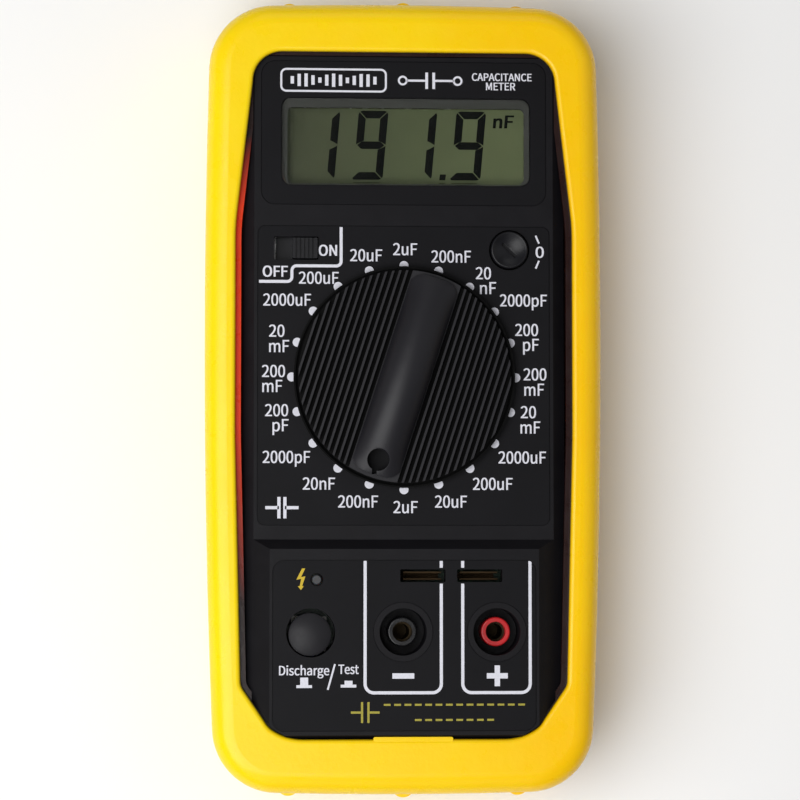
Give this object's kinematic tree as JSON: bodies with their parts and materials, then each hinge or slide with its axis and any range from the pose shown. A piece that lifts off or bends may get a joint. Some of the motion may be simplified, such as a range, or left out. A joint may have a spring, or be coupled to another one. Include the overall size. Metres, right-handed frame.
{
  "type": "handheld capacitance meter",
  "caption": "Hand-held digital capacitance meter in a yellow rubber holster, with display, range dial, switches, sockets and a fold-out stand.",
  "frame": {"origin": "middle of the holster's rest face, with the meter lying on its back", "axes": "+Y towards the display end, +Z out of the front panel, +X to the right of the display"},
  "size_m": [0.1008, 0.2024, 0.046],
  "materials": {
    "holster_rubber": "satin moulded rubber, bright yellow",
    "case_plastic": "fine textured black",
    "label_film": "printed polyester film",
    "knob_plastic": "satin black",
    "clear_lens": "clear polished acrylic",
    "lcd_glass": "olive grey liquid crystal glass",
    "contact_rubber": "striped conductive silicone",
    "board": "green solder mask",
    "chip": "moulded epoxy",
    "component": "lacquered",
    "steel": "zinc plated",
    "brass": "nickel free brass",
    "red_plastic": "red moulded",
    "black_plastic": "black moulded",
    "white_plastic": "natural acetal",
    "battery_wrap": "painted steel jacket",
    "lamp": "diffused grey lamp",
    "foil": "thin shield sheet",
    "fuse_glass": "glass tube fuse"
  },
  "bodies": {
    "meter": {"holster": "holster_rubber", "front_case": "case_plastic", "rear_case": "case_plastic", "battery_cover": "case_plastic", "battery_cover_screw": "steel", "case_screws": "steel", "rear_shield": "foil", "display_label": "label_film", "range_label": "label_film", "terminal_label": "label_film", "display_lens": "clear_lens", "lcd_panel": "lcd_glass", "lcd_frame": "black_plastic", "contact_strips": "contact_rubber", "circuit_board": "board", "board_screws": "steel", "converter_chip": "chip", "amplifier_chips": "chip", "resistors": "component", "capacitors": "component", "trimmers": "white_plastic", "fuse_clips": "brass", "fuse": "fuse_glass", "battery": "battery_wrap", "battery_snap": "black_plastic", "red_battery_wire": "red_plastic", "black_battery_wire": "black_plastic", "negative_jack_body": "black_plastic", "positive_jack_body": "red_plastic", "negative_jack_contact": "brass", "positive_jack_contact": "brass", "slot_contacts": "brass", "charge_lamp": "lamp", "detent_ring": "white_plastic", "slide_switch_body": "steel", "zero_pot_body": "black_plastic", "push_switch_body": "white_plastic"},
    "range_selector": {"selector_knob": "knob_plastic", "switch_rotor": "white_plastic", "rotor_wipers": "brass", "detent_balls": "steel", "detent_springs": "steel", "rotor_clip": "steel"},
    "power_slide": {"slide_switch_cap": "knob_plastic", "slide_switch_carrier": "white_plastic"},
    "zero_adjuster": {"zero_adjust_knob": "knob_plastic", "zero_pot_shaft": "white_plastic"},
    "push_button": {"discharge_button": "knob_plastic", "push_switch_plunger": "white_plastic"},
    "stand": {"tilt_stand": "case_plastic"}
  },
  "joints": [
    {"name": "range_selector_turn", "type": "hinge", "parent": "meter", "child": "range_selector", "pos_m": [0, 0.0048, 0.0348], "axis": [0, 0, 1], "continuous": true},
    {"name": "power_slide_travel", "type": "slide", "parent": "meter", "child": "power_slide", "axis": [1, 0, 0], "range_m": [-0.0043, 0]},
    {"name": "zero_adjust_turn", "type": "hinge", "parent": "meter", "child": "zero_adjuster", "pos_m": [0.0268, 0.0373, 0.033], "axis": [0, 0, 1], "range_deg": [-135, 135]},
    {"name": "push_button_travel", "type": "slide", "parent": "meter", "child": "push_button", "axis": [0, 0, 1], "range_m": [0, 0.003]},
    {"name": "stand_tilt", "type": "hinge", "parent": "meter", "child": "stand", "pos_m": [0, 0.05, 0.0017], "axis": [1, 0, 0], "range_deg": [0, 65]}
  ]
}
